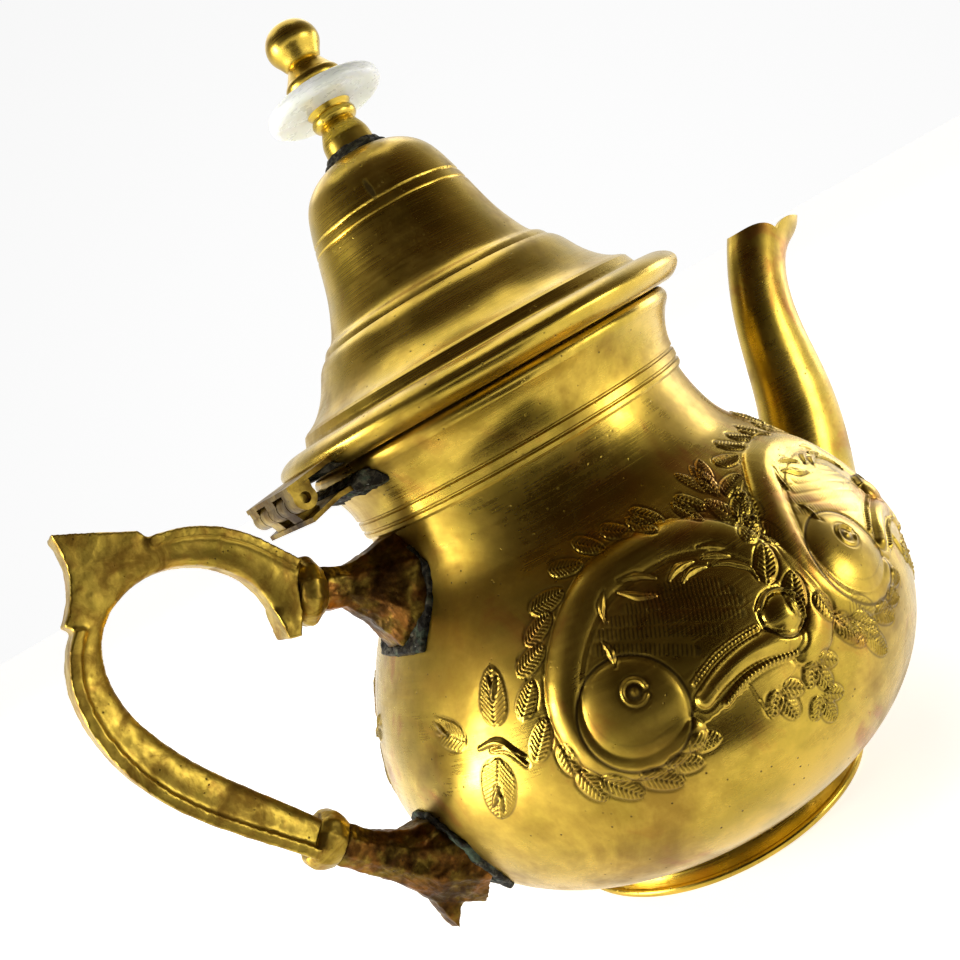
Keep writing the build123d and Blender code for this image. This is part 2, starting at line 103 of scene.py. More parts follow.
def smoothstep(low, high, value):
    """0 below low, 1 above high, and a smooth rise between them."""
    t = np.clip((value - low) / (high - low), 0, 1)
    return t * t * (3 - 2 * t)


def make_object(name, verts, faces, material, body):
    """A smooth-shaded mesh that rides on a body."""
    mesh = bpy.data.meshes.new(name)
    mesh.from_pydata([tuple(v) for v in verts], [], faces)
    mesh.update()
    mesh.polygons.foreach_set("use_smooth", [True] * len(mesh.polygons))
    obj = bpy.data.objects.new(name, mesh)
    bpy.context.collection.objects.link(obj)
    obj.data.materials.append(material)
    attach(obj, body)
    return obj


# ---------------------------------------------------------------- materials
class Graph:
    """Short hand for building a node material."""

    def __init__(self, name):
        self.material = bpy.data.materials.new(name)
        self.material.use_nodes = True
        self.tree = self.material.node_tree
        self.nodes = self.tree.nodes
        self.shader = self.nodes["Principled BSDF"]
        coordinates = self.nodes.new("ShaderNodeTexCoord")
        scale = self.nodes.new("ShaderNodeVectorMath")
        scale.operation = "SCALE"
        scale.inputs["Scale"].default_value = 1000.0
        self.link(coordinates.outputs["Object"], scale.inputs[0])
        self.mm = scale.outputs[0]      # position in millimetres

    def link(self, source, target):
        self.tree.links.new(source, target)

    def stretch(self, x, y, z):
        """The position in millimetres, scaled along each axis."""
        node = self.nodes.new("ShaderNodeVectorMath")
        node.operation = "MULTIPLY"
        node.inputs[1].default_value = (x, y, z)
        self.link(self.mm, node.inputs[0])
        return node.outputs[0]

    def noise(self, size_mm, detail=4.0, rough=0.55, vector=None, distortion=0.0):
        node = self.nodes.new("ShaderNodeTexNoise")
        node.inputs["Scale"].default_value = 1.0 / size_mm
        node.inputs["Detail"].default_value = detail
        node.inputs["Roughness"].default_value = rough
        node.inputs["Distortion"].default_value = distortion
        self.link(vector or self.mm, node.inputs["Vector"])
        return node.outputs["Fac"]

    def spots(self, size_mm):
        """Distance to the nearest of many scattered points, as a share of size_mm."""
        node = self.nodes.new("ShaderNodeTexVoronoi")
        node.inputs["Scale"].default_value = 1.0 / size_mm
        self.link(self.mm, node.inputs["Vector"])
        return node.outputs["Distance"]

    def ramp(self, value, low, high, low_out=0.0, high_out=1.0):
        """A smooth change from low_out to high_out as value goes from low to high."""
        node = self.nodes.new("ShaderNodeMapRange")
        node.interpolation_type = "SMOOTHSTEP"
        for socket, number in zip(node.inputs[1:5], (low, high, low_out, high_out)):
            socket.default_value = number
        self.link(value, node.inputs[0])
        return node.outputs[0]

    def math(self, operation, a, b):
        node = self.nodes.new("ShaderNodeMath")
        node.operation = operation
        for socket, value in zip(node.inputs, (a, b)):
            if isinstance(value, (int, float)):
                socket.default_value = value
            else:
                self.link(value, socket)
        return node.outputs[0]

    def mix(self, factor, a, b):
        node = self.nodes.new("ShaderNodeMix")
        node.data_type = "RGBA"
        self.link(factor, node.inputs[0])
        for socket, value in ((node.inputs[6], a), (node.inputs[7], b)):
            if isinstance(value, tuple):
                socket.default_value = (*value, 1.0)
            else:
                self.link(value, socket)
        return node.outputs[2]

    def near(self, centre, run, half_length, half_width):
        """1 at a point of the object, falling to 0 round a short streak that runs along a direction."""
        offset = self.nodes.new("ShaderNodeVectorMath")
        offset.operation = "SUBTRACT"
        self.link(self.mm, offset.inputs[0])
        offset.inputs[1].default_value = centre
        along = self.nodes.new("ShaderNodeVectorMath")
        along.operation = "DOT_PRODUCT"
        self.link(offset.outputs[0], along.inputs[0])
        along.inputs[1].default_value = Vector(run).normalized()
        whole = self.nodes.new("ShaderNodeVectorMath")
        whole.operation = "LENGTH"
        self.link(offset.outputs[0], whole.inputs[0])
        stretch = 1 - (half_width / half_length) ** 2
        square = self.math("MULTIPLY", self.math("POWER", along.outputs["Value"], 2.0), stretch)
        gap = self.math("SUBTRACT", self.math("POWER", whole.outputs["Value"], 2.0), square)
        gap = self.math("ADD", gap, self.math("MULTIPLY", self.noise(0.5, 3), half_width ** 2))
        return self.ramp(gap, half_width ** 2 * 0.7, half_width ** 2 * 1.9, 1.0, 0.0)

    def attribute(self, name):
        node = self.nodes.new("ShaderNodeAttribute")
        node.attribute_name = name
        return node.outputs["Fac"]

    def bump(self, height, distance_mm, normal=None):
        """A surface normal tilted by a height, on top of an earlier normal where one is given."""
        node = self.nodes.new("ShaderNodeBump")
        node.inputs["Distance"].default_value = distance_mm * MM
        self.link(height, node.inputs["Height"])
        if normal is not None:
            self.link(normal, node.inputs["Normal"])
        return node.outputs["Normal"]

    def finish(self, colour, roughness, normal):
        """Links the shader's inputs and returns the finished material."""
        self.link(colour, self.shader.inputs["Base Color"])
        self.link(roughness, self.shader.inputs["Roughness"])
        self.link(normal, self.shader.inputs["Normal"])
        return self.material


BRASS_BRIGHT = (0.64, 0.44, 0.065)
BRASS_OLIVE = (0.44, 0.31, 0.04)
BRASS_BROWN = (0.19, 0.095, 0.012)
BRASS_COPPER = (0.44, 0.145, 0.03)


def aged_brass(name, tarnish=0.5, copper=0.5, turned=1.0, rough=0.24, pits=1.0, relief=False, scar=None):
    """Old brass: brown film in patches, copper blush, pin-prick pits, turning lines and scratches."""
    g = Graph(name)
    patch = g.noise(26, 6, 0.62, distortion=0.6)
    fine = g.noise(3.2, 5, 0.6)
    film = g.math("ADD", patch, g.math("MULTIPLY", fine, 0.25))
    film = g.ramp(film, 0.78 - 0.34 * tarnish, 1.02 - 0.2 * tarnish)
    colour = g.mix(g.ramp(g.noise(9, 4), 0.35, 0.7), BRASS_BRIGHT, BRASS_OLIVE)
    blush = g.ramp(g.noise(17, 5, 0.6, distortion=1.2), 0.60 - 0.08 * copper, 0.78 - 0.06 * copper)
    colour = g.mix(g.math("MULTIPLY", blush, 0.75 * copper), colour, BRASS_COPPER)
    colour = g.mix(g.math("MULTIPLY", film, 0.72), colour, BRASS_BROWN)
    dots = g.math("MULTIPLY", g.ramp(g.spots(1.9), 0.05, 0.14, 1.0, 0.0), g.ramp(g.noise(7, 3), 0.45, 0.62))
    dots = g.math("MULTIPLY", dots, pits)
    colour = g.mix(g.math("MULTIPLY", dots, 0.85), colour, (0.045, 0.028, 0.012))
    if scar:
        mark = g.near(*scar)
        colour = g.mix(g.math("MULTIPLY", mark, 0.9), colour, (0.03, 0.016, 0.008))
        dots = g.math("MAXIMUM", dots, mark)
    if relief:
        grime = g.ramp(g.attribute("grime"), 0.05, 0.75)
        colour = g.mix(g.math("MULTIPLY", grime, 0.8), colour, (0.07, 0.045, 0.016))
    lines = g.noise(1.0, 3, 0.6, vector=g.stretch(0.05, 0.05, 3.2))
    scratch = g.noise(1.0, 2, 0.5, vector=g.stretch(0.35, 1.9, 0.22))
    roughness = g.math("ADD", g.math("MULTIPLY", film, 0.2), rough)
    roughness = g.math("ADD", roughness, g.math("MULTIPLY", g.ramp(lines, 0.4, 0.7), 0.09 * turned))
    roughness = g.math("ADD", roughness, g.math("MULTIPLY", dots, 0.3))
    normal = g.bump(lines, 0.010 * turned + 0.0005)
    normal = g.bump(scratch, 0.003, normal)
    normal = g.bump(g.noise(14, 2), 0.20, normal)
    normal = g.bump(g.math("MULTIPLY", dots, -1.0), 0.05, normal)
    g.shader.inputs["Metallic"].default_value = 1.0
    return g.finish(colour, roughness, normal)


def cast_brass(name, tarnish=0.5, filed=1.0, copper=0.4, soot=0.0):
    """Cast and filed brass: coarse file strokes, dark skin in the low places, worn edges."""
    g = Graph(name)
    strokes = g.noise(1.0, 3, 0.6, vector=g.stretch(0.5, 2.6, 0.5))
    cross = g.noise(1.0, 3, 0.6, vector=g.stretch(1.6, 0.4, 1.1))
    skin = g.noise(6, 6, 0.62, distortion=0.8)
    film = g.math("ADD", skin, g.math("MULTIPLY", strokes, 0.2))
    film = g.ramp(film, 0.7 - 0.3 * tarnish, 0.95 - 0.2 * tarnish)
    colour = g.mix(g.ramp(g.noise(5, 4), 0.35, 0.7), BRASS_BRIGHT, BRASS_OLIVE)
    blush = g.ramp(g.noise(4, 4), 0.62 - 0.25 * copper, 0.8 - 0.25 * copper)
    colour = g.mix(g.math("MULTIPLY", blush, copper), colour, BRASS_COPPER)
    colour = g.mix(g.math("MULTIPLY", film, 0.85), colour, BRASS_BROWN)
    smoke = g.ramp(g.noise(5.5, 5, 0.65), 0.35, 0.65, soot, 0.45 * soot)
    colour = g.mix(smoke, colour, (0.030, 0.013, 0.004))
    dots = g.ramp(g.spots(1.1), 0.08, 0.2, 1.0, 0.0)
    dots = g.math("MULTIPLY", dots, g.ramp(g.noise(5, 3), 0.5, 0.65))
    colour = g.mix(g.math("MULTIPLY", dots, 0.8), colour, (0.04, 0.025, 0.012))
    roughness = g.math("ADD", g.math("MULTIPLY", film, 0.2), 0.3)
    roughness = g.math("ADD", roughness, g.math("MULTIPLY", strokes, 0.12))
    normal = g.bump(strokes, 0.05 * filed)
    normal = g.bump(cross, 0.03 * filed, normal)
    normal = g.bump(g.noise(4, 3), 0.22 * filed, normal)
    normal = g.bump(g.math("MULTIPLY", dots, -1.0), 0.08, normal)
    g.shader.inputs["Metallic"].default_value = 1.0
    return g.finish(colour, roughness, normal)


def old_solder(name, green=0.5):
    """Dull grey solder with black flux, pale crust and a touch of verdigris."""
    g = Graph(name)
    mottled = g.noise(1.8, 6, 0.7, distortion=0.8)
    colour = g.mix(g.ramp(mottled, 0.45, 0.66), (0.010, 0.008, 0.005), (0.09, 0.08, 0.05))
    colour = g.mix(g.math("MULTIPLY", g.ramp(g.noise(3.5, 5), 0.5, 0.68), green), colour, (0.10, 0.15, 0.09))
    colour = g.mix(g.ramp(g.noise(1.1, 4), 0.66, 0.76), colour, (0.36, 0.37, 0.30))
    roughness = g.ramp(mottled, 0.3, 0.7, 0.75, 0.42)
    metal = g.ramp(mottled, 0.45, 0.6, 0.0, 0.5)
    g.link(metal, g.shader.inputs["Metallic"])
    g.shader.inputs["Specular IOR Level"].default_value = 0.12
    normal = g.bump(mottled, 0.35)
    normal = g.bump(g.noise(0.5, 4), 0.08, normal)
    return g.finish(colour, roughness, normal)


def milky_disc(name):
    """Translucent off-white disc with faint clouds and scuffs."""
    g = Graph(name)
    cloud = g.noise(7, 4)
    scuff = g.noise(1.0, 3, 0.6, vector=g.stretch(0.4, 0.4, 3.0))
    colour = g.mix(g.ramp(cloud, 0.35, 0.7), (0.80, 0.84, 0.76), (0.90, 0.92, 0.86))
    specks = g.math("MULTIPLY", g.ramp(g.spots(4.2), 0.04, 0.09, 1.0, 0.0), 0.3)
    colour = g.mix(specks, colour, (0.5, 0.45, 0.33))
    g.shader.inputs["Subsurface Weight"].default_value = 0.6
    g.shader.inputs["Subsurface Radius"].default_value = (0.004, 0.004, 0.003)
    g.shader.inputs["Subsurface Scale"].default_value = 1.0
    g.shader.inputs["Transmission Weight"].default_value = 0.15
    return g.finish(colour, g.ramp(scuff, 0.3, 0.7, 0.22, 0.42), g.bump(scuff, 0.02))


CROWN_SCAR = ((-9.5, -13.3, 144.4), (-0.1, -0.3, -1), 2.6, 0.75)     # middle, run, half length and width

MATERIALS = {
    "belly": aged_brass("belly_brass", 0.8, 0.9, 0.6, 0.22, relief=True),
    "lid": aged_brass("lid_brass", 0.5, 0.3, 0.7, 0.25, scar=CROWN_SCAR),
    "collar": aged_brass("collar_brass", 0.7, 0.6, 0.8, 0.22),
    "spout": aged_brass("spout_brass", 0.65, 0.9, 0.3, 0.26, 0.8),
    "leaf": cast_brass("hinge_brass", 0.9, 0.4, 0.2, 0.75),
    "handle": cast_brass("handle_brass", 0.75, 0.7, 0.35, 0.3),
    "bracket": cast_brass("bracket_brass", 1.0, 1.6, 0.85, 0.95),
    "finial": aged_brass("finial_brass", 0.6, 0.3, 0.8, 0.26),
    "pin": cast_brass("pin_metal", 1.0, 0.6),
    "solder": old_solder("old_solder", 0.55),
    "solder_grey": old_solder("grey_solder", 0.15),
    "disc": milky_disc("milky_disc"),
}


# ---------------------------------------------------------------- relief on the belly
def window(across, along, centre, reach):
    """Rows and columns of the grid that lie within reach of a point."""
    cols = np.where(np.abs(across[0] - centre[0]) < reach)[0]
    rows = np.where(np.abs(along[:, 0] - centre[1]) < reach)[0]
    if len(cols) == 0 or len(rows) == 0:
        return None
    return slice(rows[0], rows[-1] + 1), slice(cols[0], cols[-1] + 1)


def stamp_leaf(height, grime, across, along, centre, angle, length, width):
    """A small raised leaf with a midrib, slanted veins and a chased outline."""
    found = window(across, along, centre, length * 0.75)
    if found is None:
        return
    x = across[found] - centre[0]
    y = along[found] - centre[1]
    c, s = cos(radians(angle)), sin(radians(angle))
    a = (x * c + y * s) / (length / 2)
    b = -x * s + y * c
    span = width / 2 * np.clip(1 - np.abs(a) ** 2.4, 0, 1) ** 0.62 * (1.0 - 0.18 * a) + 1e-6
    inside = np.abs(b) / span
    body = np.where(np.abs(a) < 1, np.clip(1 - inside ** 2, 0, 1) ** 0.5, 0)
    veins = np.sin(2 * pi * (a * length / 2 - 0.85 * np.abs(b)) / 0.80)
    rib = np.exp(-(b / 0.16) ** 2)
    border = np.exp(-((inside - 0.98) * span / 0.20) ** 2) * (np.abs(a) < 1.02)
    groove = np.exp(-((inside - 1.0) * span / 0.26 - 1.7) ** 2) * (np.abs(a) < 1.05)
    solid = smoothstep(0.0, 0.35, body)
    height[found] += solid * (0.22 * body + 0.15 * veins - 0.16 * rib) + 0.12 * border - 0.12 * groove
    grime[found] = np.maximum(grime[found], solid * (0.5 - 0.5 * veins) * 0.5 + 0.35 * rib * solid)
    grime[found] = np.maximum(grime[found], 0.55 * groove)


def distance_to(across, along, curve):
    """Each grid point's distance to a curve, how far along the curve it is, and on which side."""
    flat = np.stack([across.ravel(), along.ravel()], 1)
    best = np.full(len(flat), 1e9)
    share = np.zeros(len(flat))
    side = np.zeros(len(flat))
    for k in range(len(curve) - 1):
        a, b = curve[k], curve[k + 1]
        run = b - a
        t = np.clip(((flat - a) @ run) / (run @ run), 0, 1)
        gap = flat - (a + t[:, None] * run)
        d = np.hypot(gap[:, 0], gap[:, 1])
        closer = d < best
        best[closer] = d[closer]
        share[closer] = (k + t[closer]) / (len(curve) - 1)
        side[closer] = np.sign(run[0] * gap[closer, 1] - run[1] * gap[closer, 0])
    shape = across.shape
    return best.reshape(shape), share.reshape(shape), side.reshape(shape)


def stroke(height, grime, across, along, points, half, rise, ticks=0.0, sharp=2.0, groove=0.12):
    """A raised band along a curve; half is its half width (one number or start, middle, end)."""
    curve = smooth_curve(points, 40)
    centre = curve.mean(0)
    reach = np.abs(curve - centre).max() + 4.5
    found = window(across, along, centre, reach)
    if found is None:
        return
    d, share, _ = distance_to(across[found], along[found], curve)
    widths = np.interp(share, (0, 0.5, 1), half) if isinstance(half, tuple) else half
    ratio = d / widths
    body = np.clip(1 - np.abs(ratio) ** sharp, 0, 1) ** 0.6
    band = rise * body
    run = np.hypot(*np.diff(curve, axis=0).T).sum()
    if ticks:
        wave = np.sin(2 * pi * share * run / ticks)
        band = band + smoothstep(0.1, 0.6, body) * 0.13 * wave
        grime[found] = np.maximum(grime[found], smoothstep(0.1, 0.6, body) * (0.3 - 0.3 * wave))
    edge = np.exp(-((ratio - 1.1) * widths / 0.28) ** 2)
    height[found] = np.maximum(height[found], band) - groove * edge
    grime[found] = np.maximum(grime[found], min(3.2 * groove, 0.6) * edge)


def dome(height, grime, across, along, centre, radius, rise, edge=0.2):
    """A round boss with a chased ring at its foot."""
    found = window(across, along, centre, radius + 3)
    if found is None:
        return
    d = np.hypot(across[found] - centre[0], along[found] - centre[1])
    body = rise * np.clip(1 - (d / radius) ** 2, 0, 1) ** 0.55
    ring = np.exp(-((d - radius * 1.04) / 0.3) ** 2)
    height[found] = np.maximum(height[found], body) - edge * ring
    grime[found] = np.maximum(grime[found], 0.85 * ring)


LEAF_STRETCH = 1.12        # how much longer a border leaf is than its listed length
LEAF_SLIM = 0.96           # and how much narrower


def medallion(height, grime, across, along):
    """One comma-shaped medallion with its bosses, milled band, hatched field and leaf border."""
    args = (height, grime, across, along)
    outline = [(-7.0, -9.6), (-14.4, -10.4), (-20.4, -7.2), (-22.8, -1.6), (-22.4, 4.0), (-19.4, 9.6),
               (-14.6, 14.6), (-8.0, 18.4), (0.0, 19.4), (8.4, 18.6), (15.4, 15.2), (20.2, 9.6),
               (22.6, 3.0), (22.2, -3.0), (19.4, -7.0), (16.4, -8.4)]
    curve = smooth_curve(outline, 60)
    found = window(across, along, (0, 4), 28)
    if found is None:
        return
    d, _, side = distance_to(across[found], along[found], curve)
    inner = np.where(side < 0, 1.0, 0.0)
    pillow = 0.75 * smoothstep(0.0, 3.5, d) * inner * np.where(d < 30, 1, 0)
    closed = (np.abs(across[found]) < 25) & (along[found] > -13)
    height[found] = np.maximum(height[found], pillow * closed * 0.55)
    stroke(*args, outline, (2.6, 3.8, 3.4), 1.2, sharp=1.7, groove=0.10)
    dome(*args, (-13.0, -2.6), 8.6, 1.75, 0.16)
    ring = [(-11.2 + 1.9 * cos(t), 0.1 + 1.9 * sin(t)) for t in np.linspace(0, 5.6, 10)]
    stroke(*args, ring, 0.5, 1.84, groove=0.14)
    dome(*args, (-11.2, 0.1), 0.9, 1.82, 0.08)
    stroke(*args, [(-2.5, -6.0), (2.0, -4.4), (7.5, -3.8), (14.5, -5.2)], (1.5, 1.9, 2.6), 1.35, sharp=1.8)
    stroke(*args, [(-2.6, -3.2), (2.0, -1.5), (6.5, -1.0), (10.6, -1.2)], 0.65, 0.8, ticks=0.7, groove=0.05)
    stroke(*args, [(0.0, -8.2), (4.4, -6.7), (9.2, -6.7), (14.2, -8.0)], 0.7, 0.8, ticks=0.7, groove=0.05)
    dome(*args, (16.0, -1.8), 3.7, 1.9, 0.35)
    stroke(*args, [(13.0, 0.8), (15.6, 2.0), (18.4, 1.2), (19.6, -1.2), (18.6, -4.2)], 0.4, 1.5, groove=0.1)
    for points, half in (
        ([(-12.2, 9.2), (-11.8, 7.0), (-12.2, 4.8)], 0.8), ([(-7.6, 16.4), (-9.6, 14.2), (-10.2, 12.0)], 0.8),
        ([(-5.6, 15.2), (-2.6, 12.8), (0.2, 11.4)], 0.9), ([(-4.4, 16.8), (-0.6, 15.8), (2.0, 13.8)], 0.7),
        ([(3.4, 12.4), (6.4, 13.4), (9.6, 12.9)], 0.8), ([(5.2, 11.0), (8.0, 11.8), (10.8, 11.0)], 0.8),
        ([(11.8, 14.4), (14.2, 13.2), (16.8, 11.0)], 0.7), ([(11.0, 12.6), (13.4, 11.8), (15.6, 10.2)], 0.7),
        ([(11.6, 10.8), (14.6, 9.4), (16.8, 6.8), (16.6, 4.4)], 0.75),
    ):
        stroke(*args, points, (0.15, half, 0.15), 0.85, groove=0.12)
    for start, end in (((-14.0, 8.6), (0.4, 1.0)), ((-12.6, 10.6), (6.2, 1.4)), ((-9.6, 11.6), (10.2, 2.0)),
                       ((-6.0, 12.2), (11.4, 3.8)), ((-2.2, 12.2), (11.2, 5.8)), ((1.8, 12.0), (10.6, 7.8))):
        hatch = [start, ((start[0] + end[0]) / 2 + 0.3, (start[1] + end[1]) / 2 + 0.3), end]
        stroke(*args, hatch, 1.0, 0.34, ticks=0.72, sharp=9.0, groove=0.03)
    for x, y, angle, length, width in (
        (-25.9, -5.2, -90, 4.8, 3.0), (-24.2, -10.4, -75, 5.6, 3.4), (-20.1, -12.4, -50, 6.4, 3.5),
        (-14.1, -13.9, -40, 6.2, 3.5), (-9.8, -13.2, -28, 5.2, 3.1), (-5.6, -11.6, -20, 4.6, 3.2),
        (-29.0, -0.7, 50, 6.6, 3.4), (-29.0, 5.9, 50, 6.2, 3.3), (-25.8, 11.7, 22, 6.6, 3.2),
        (-22.3, 16.0, 26, 6.8, 3.1), (-18.8, 19.7, 6, 7.4, 3.4), (-12.3, 23.7, -14, 6.8, 3.1),
        (-5.6, 25.3, -38, 6.4, 3.1), (1.2, 25.0, -35, 6.2, 3.1), (6.4, 23.2, -64, 5.6, 3.0),
        (9.0, 24.3, -50, 6.0, 3.0), (16.3, 20.6, -75, 5.6, 2.8), (18.9, 21.6, -58, 5.6, 2.8),
        (22.2, 16.8, 98, 6.6, 4.0), (24.9, 10.4, 90, 6.6, 3.6), (28.0, 15.4, 62, 7.0, 3.1),
        (26.2, 23.4, 70, 7.6, 3.4), (23.6, 24.4, 105, 6.4, 3.0), (28.6, 25.0, 40, 6.4, 3.0),
    ):
        stamp_leaf(*args, (x, y), angle, LEAF_STRETCH * length, LEAF_SLIM * width)
    for x, y in ((8.6, -13.4), (16.2, -13.2), (14.8, -18.6)):
        stamp_leaf(*args, (x, y - 1.2), -80, 4.6, 2.6)
        stamp_leaf(*args, (x - 2.0, y + 0.9), -125, 4.2, 2.4)
        stamp_leaf(*args, (x + 2.0, y + 1.1), -35, 4.2, 2.4)
    for x, y in ((29.5, -10.5), (25.2, -11.6), (29.6, -16.4)):
        stamp_leaf(*args, (x, y), -62, 7.4, 3.3)


def handle_sprig(height, grime, across, along):
    """Three long leaves on a curved stem, beside the handle."""
    args = (height, grime, across, along)
    for centre, angle, length, width in (((0, 0), 75, 10.0, 5.6), ((-13.6, -3.8), 157, 11.5, 4.8),
                                         ((-5.0, -14.8), 243, 10.8, 6.4)):
        stamp_leaf(*args, centre, angle, length, width)
        turn = radians(angle)
        for lift in (0.28, -0.28):
            dx = cos(turn + lift) * length * 0.34
            dy = sin(turn + lift) * length * 0.34
            points = [(centre[0] + dx * share, centre[1] + dy * share) for share in (-0.2, 0.5, 1)]
            stroke(*args, points, (0.2, 0.7, 0.2), 0.55, groove=0.18)
    stroke(*args, [(-6.0, -7.6), (-1.6, -7.4), (2.6, -10.8)], (0.3, 0.8, 0.2), 0.7, groove=0.2)
    stroke(*args, [(-3.4, -8.4), (0.0, -9.0), (2.4, -12.2)], (0.2, 0.6, 0.2), 0.55, groove=0.2)


def press(motif, height, grime, across, runs, turn, run_mm, span):
    """Presses a motif into the maps, with its middle at an azimuth and a profile length."""
    cols = np.abs(across - turn) < span
    u = (across[cols] - turn) * radians(1) * RELIEF_RADIUS_MM
    order = np.argsort(u)
    back = np.argsort(order)
    u = u[order][None, :].repeat(len(runs), 0)
    v = (runs - run_mm)[:, None].repeat(u.shape[1], 1)
    part_height, part_grime = height[:, cols][:, order], grime[:, cols][:, order]
    motif(part_height, part_grime, u, v)
    height[:, cols], grime[:, cols] = part_height[:, back], part_grime[:, back]


def relief_maps(turns, runs):
    """Height and grime, in millimetres and 0 to 1, over azimuth columns and profile-length rows."""
    height = np.zeros((len(runs), len(turns)))
    grime = np.zeros_like(height)
    for mirror in (1, -1):
        across = np.where(turns > 180, turns - 360, turns) * mirror
        for turn in MEDALLION_TURNS:
            press(medallion, height, grime, across, runs, turn, MEDALLION_RUN_MM, MEDALLION_SPAN)
        press(handle_sprig, height, grime, across, runs, SPRIG_TURN, SPRIG_RUN_MM, SPRIG_SPAN)
    return height, grime


def belly_rows(fine):
    """Profile lengths of the belly's rings, close together where the relief is, with their places."""
    profile = cubic_profile(BODY_PROFILE_MM, 0.1)
    runs = np.r_[0, np.cumsum(np.linalg.norm(np.diff(profile, axis=0), axis=1))]
    low, high = 30.0, 88.0
    rows = np.r_[np.arange(0, low), np.arange(low, high, fine), np.arange(high, runs[-1]), runs[-1]]
    r = np.interp(rows, runs, profile[:, 0])
    z = np.interp(rows, runs, profile[:, 1])
    tangent = np.gradient(np.stack([r, z], 1), rows, axis=0)
    tangent /= np.linalg.norm(tangent, axis=1)[:, None]
    normal = np.stack([tangent[:, 1], -tangent[:, 0]], 1)
    return rows, r, z, normal


def make_belly():
    """The body shell: outside with its relief, rolled over the neck's edge into a plain inside."""
    fine = 0.22
    coarse = 1.2
    base_steps = 6
    columns = int(2 * pi * RELIEF_RADIUS_MM / fine)
    rows, r, z, normal = belly_rows(fine)
    turns = np.arange(columns) * 360 / columns
    height, grime = relief_maps(turns, rows)
    fade = smoothstep(14, 21, np.minimum(turns, 360 - turns)) * smoothstep(12, 17, np.abs(turns - 180))
    height *= fade[None, :]
    grime *= fade[None, :]
    wobble = 0.05 * np.sin(np.radians(turns * 3 + 40)) + 0.03 * np.sin(np.radians(turns * 7))
    wobble = wobble[None, :] * np.sin(pi * rows / rows[-1])[:, None]
    inside_rows = np.arange(0, len(rows), max(1, int(coarse / fine)))[::-1]
    soft = height.copy()
    for _ in range(3):
        soft = (np.roll(soft, 3, 0) + np.roll(soft, -3, 0) + np.roll(soft, 3, 1) + np.roll(soft, -3, 1)) / 4
    rings = []
    marks = []
    for k in range(base_steps):
        rings.append((np.full(columns, BASE_R_MM * k / base_steps), np.full(columns, BASE_Z_MM)))
        marks.append(np.full(columns, 0.15))
    for k in range(len(rows)):
        lift = height[k] + wobble[k]
        rings.append((r[k] + normal[k, 0] * lift, z[k] + normal[k, 1] * lift))
        marks.append(grime[k])
    floor_z = BASE_Z_MM + WALL_MM
    for k in inside_rows:
        lift = soft[k] * 0.8 - WALL_MM
        depth = np.full(columns, z[k]) + (normal[k, 1] * lift if k < inside_rows[0] else 0.0)
        rings.append((r[k] + normal[k, 0] * lift, np.maximum(depth, floor_z)))
        marks.append(np.full(columns, 0.2))
    for k in range(base_steps - 1, -1, -1):
        rings.append((np.full(columns, (BASE_R_MM - 2) * k / base_steps), np.full(columns, floor_z)))
        marks.append(np.full(columns, 0.3))
    angle = np.radians(turns)
    verts = np.concatenate([np.stack([a * np.cos(angle), a * np.sin(angle), b], 1) for a, b in rings]) * MM
    first = np.arange(len(rings) - 1)[:, None] * columns
    here = np.arange(columns)[None, :]
    after = (here + 1) % columns
    faces = np.stack([first + here, first + after, first + columns + after, first + columns + here], -1)
    obj = make_object("belly", verts, faces.reshape(-1, 4).tolist(), MATERIALS["belly"], "pot")
    mark = obj.data.attributes.new("grime", "FLOAT", "POINT")
    mark.data.foreach_set("value", np.concatenate(marks).astype(np.float32))
    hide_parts("body_shell")


# ---------------------------------------------------------------- worn copies of the cast and soldered pieces
BOW_INSIDE_MM = [
    (-75.0, 49.6), (-84.2, 64.6), (-90.8, 78.0), (-92.6, 88.0), (-89.2, 97.6),
    (-81.4, 101.6), (-71.6, 99.6), (-65.6, 93.8), (-63.6, 86.0),
]


def worn_copy(node, body, voxel_mm, lumps, soften=2, shape=None):
    """A piece re-meshed from its CAD node, with softened edges and an uneven skin.

    lumps is a run of (height, spacing) pairs in millimetres; shape moves the copy's points first.
    """
    source = NODES[node]
    obj = bpy.data.objects.new(node + "_skin", source.data.copy())
    bpy.context.collection.objects.link(obj)
    remesh = obj.modifiers.new("skin", "REMESH")
    remesh.mode = "VOXEL"
    remesh.voxel_size = voxel_mm * MM
    smooth = obj.modifiers.new("soften", "SMOOTH")
    smooth.iterations = soften
    smooth.factor = 0.5
    solved = obj.evaluated_get(bpy.context.evaluated_depsgraph_get())
    mesh = bpy.data.meshes.new_from_object(solved)
    obj.modifiers.clear()
    obj.data = mesh
    count = len(mesh.vertices)
    co = np.empty(count * 3)
    no = np.empty(count * 3)
    mesh.vertices.foreach_get("co", co)
    mesh.vertices.foreach_get("normal", no)
    co, no = co.reshape(-1, 3), no.reshape(-1, 3)
    if shape:
        co = shape(co)
    for height, spacing in lumps:
        scale = 1000 / spacing
        lift = np.array([noise.noise(Vector(p) * scale) for p in co])
        co = co + no * (lift * height * MM)[:, None]
    mesh.vertices.foreach_set("co", co.ravel())
    mesh.polygons.foreach_set("use_smooth", [True] * len(mesh.polygons))
    mesh.materials.clear()
    mesh.materials.append(MATERIALS[NODE_MATERIALS[node]])
    mesh.update()
    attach(obj, body)
    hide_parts(node)


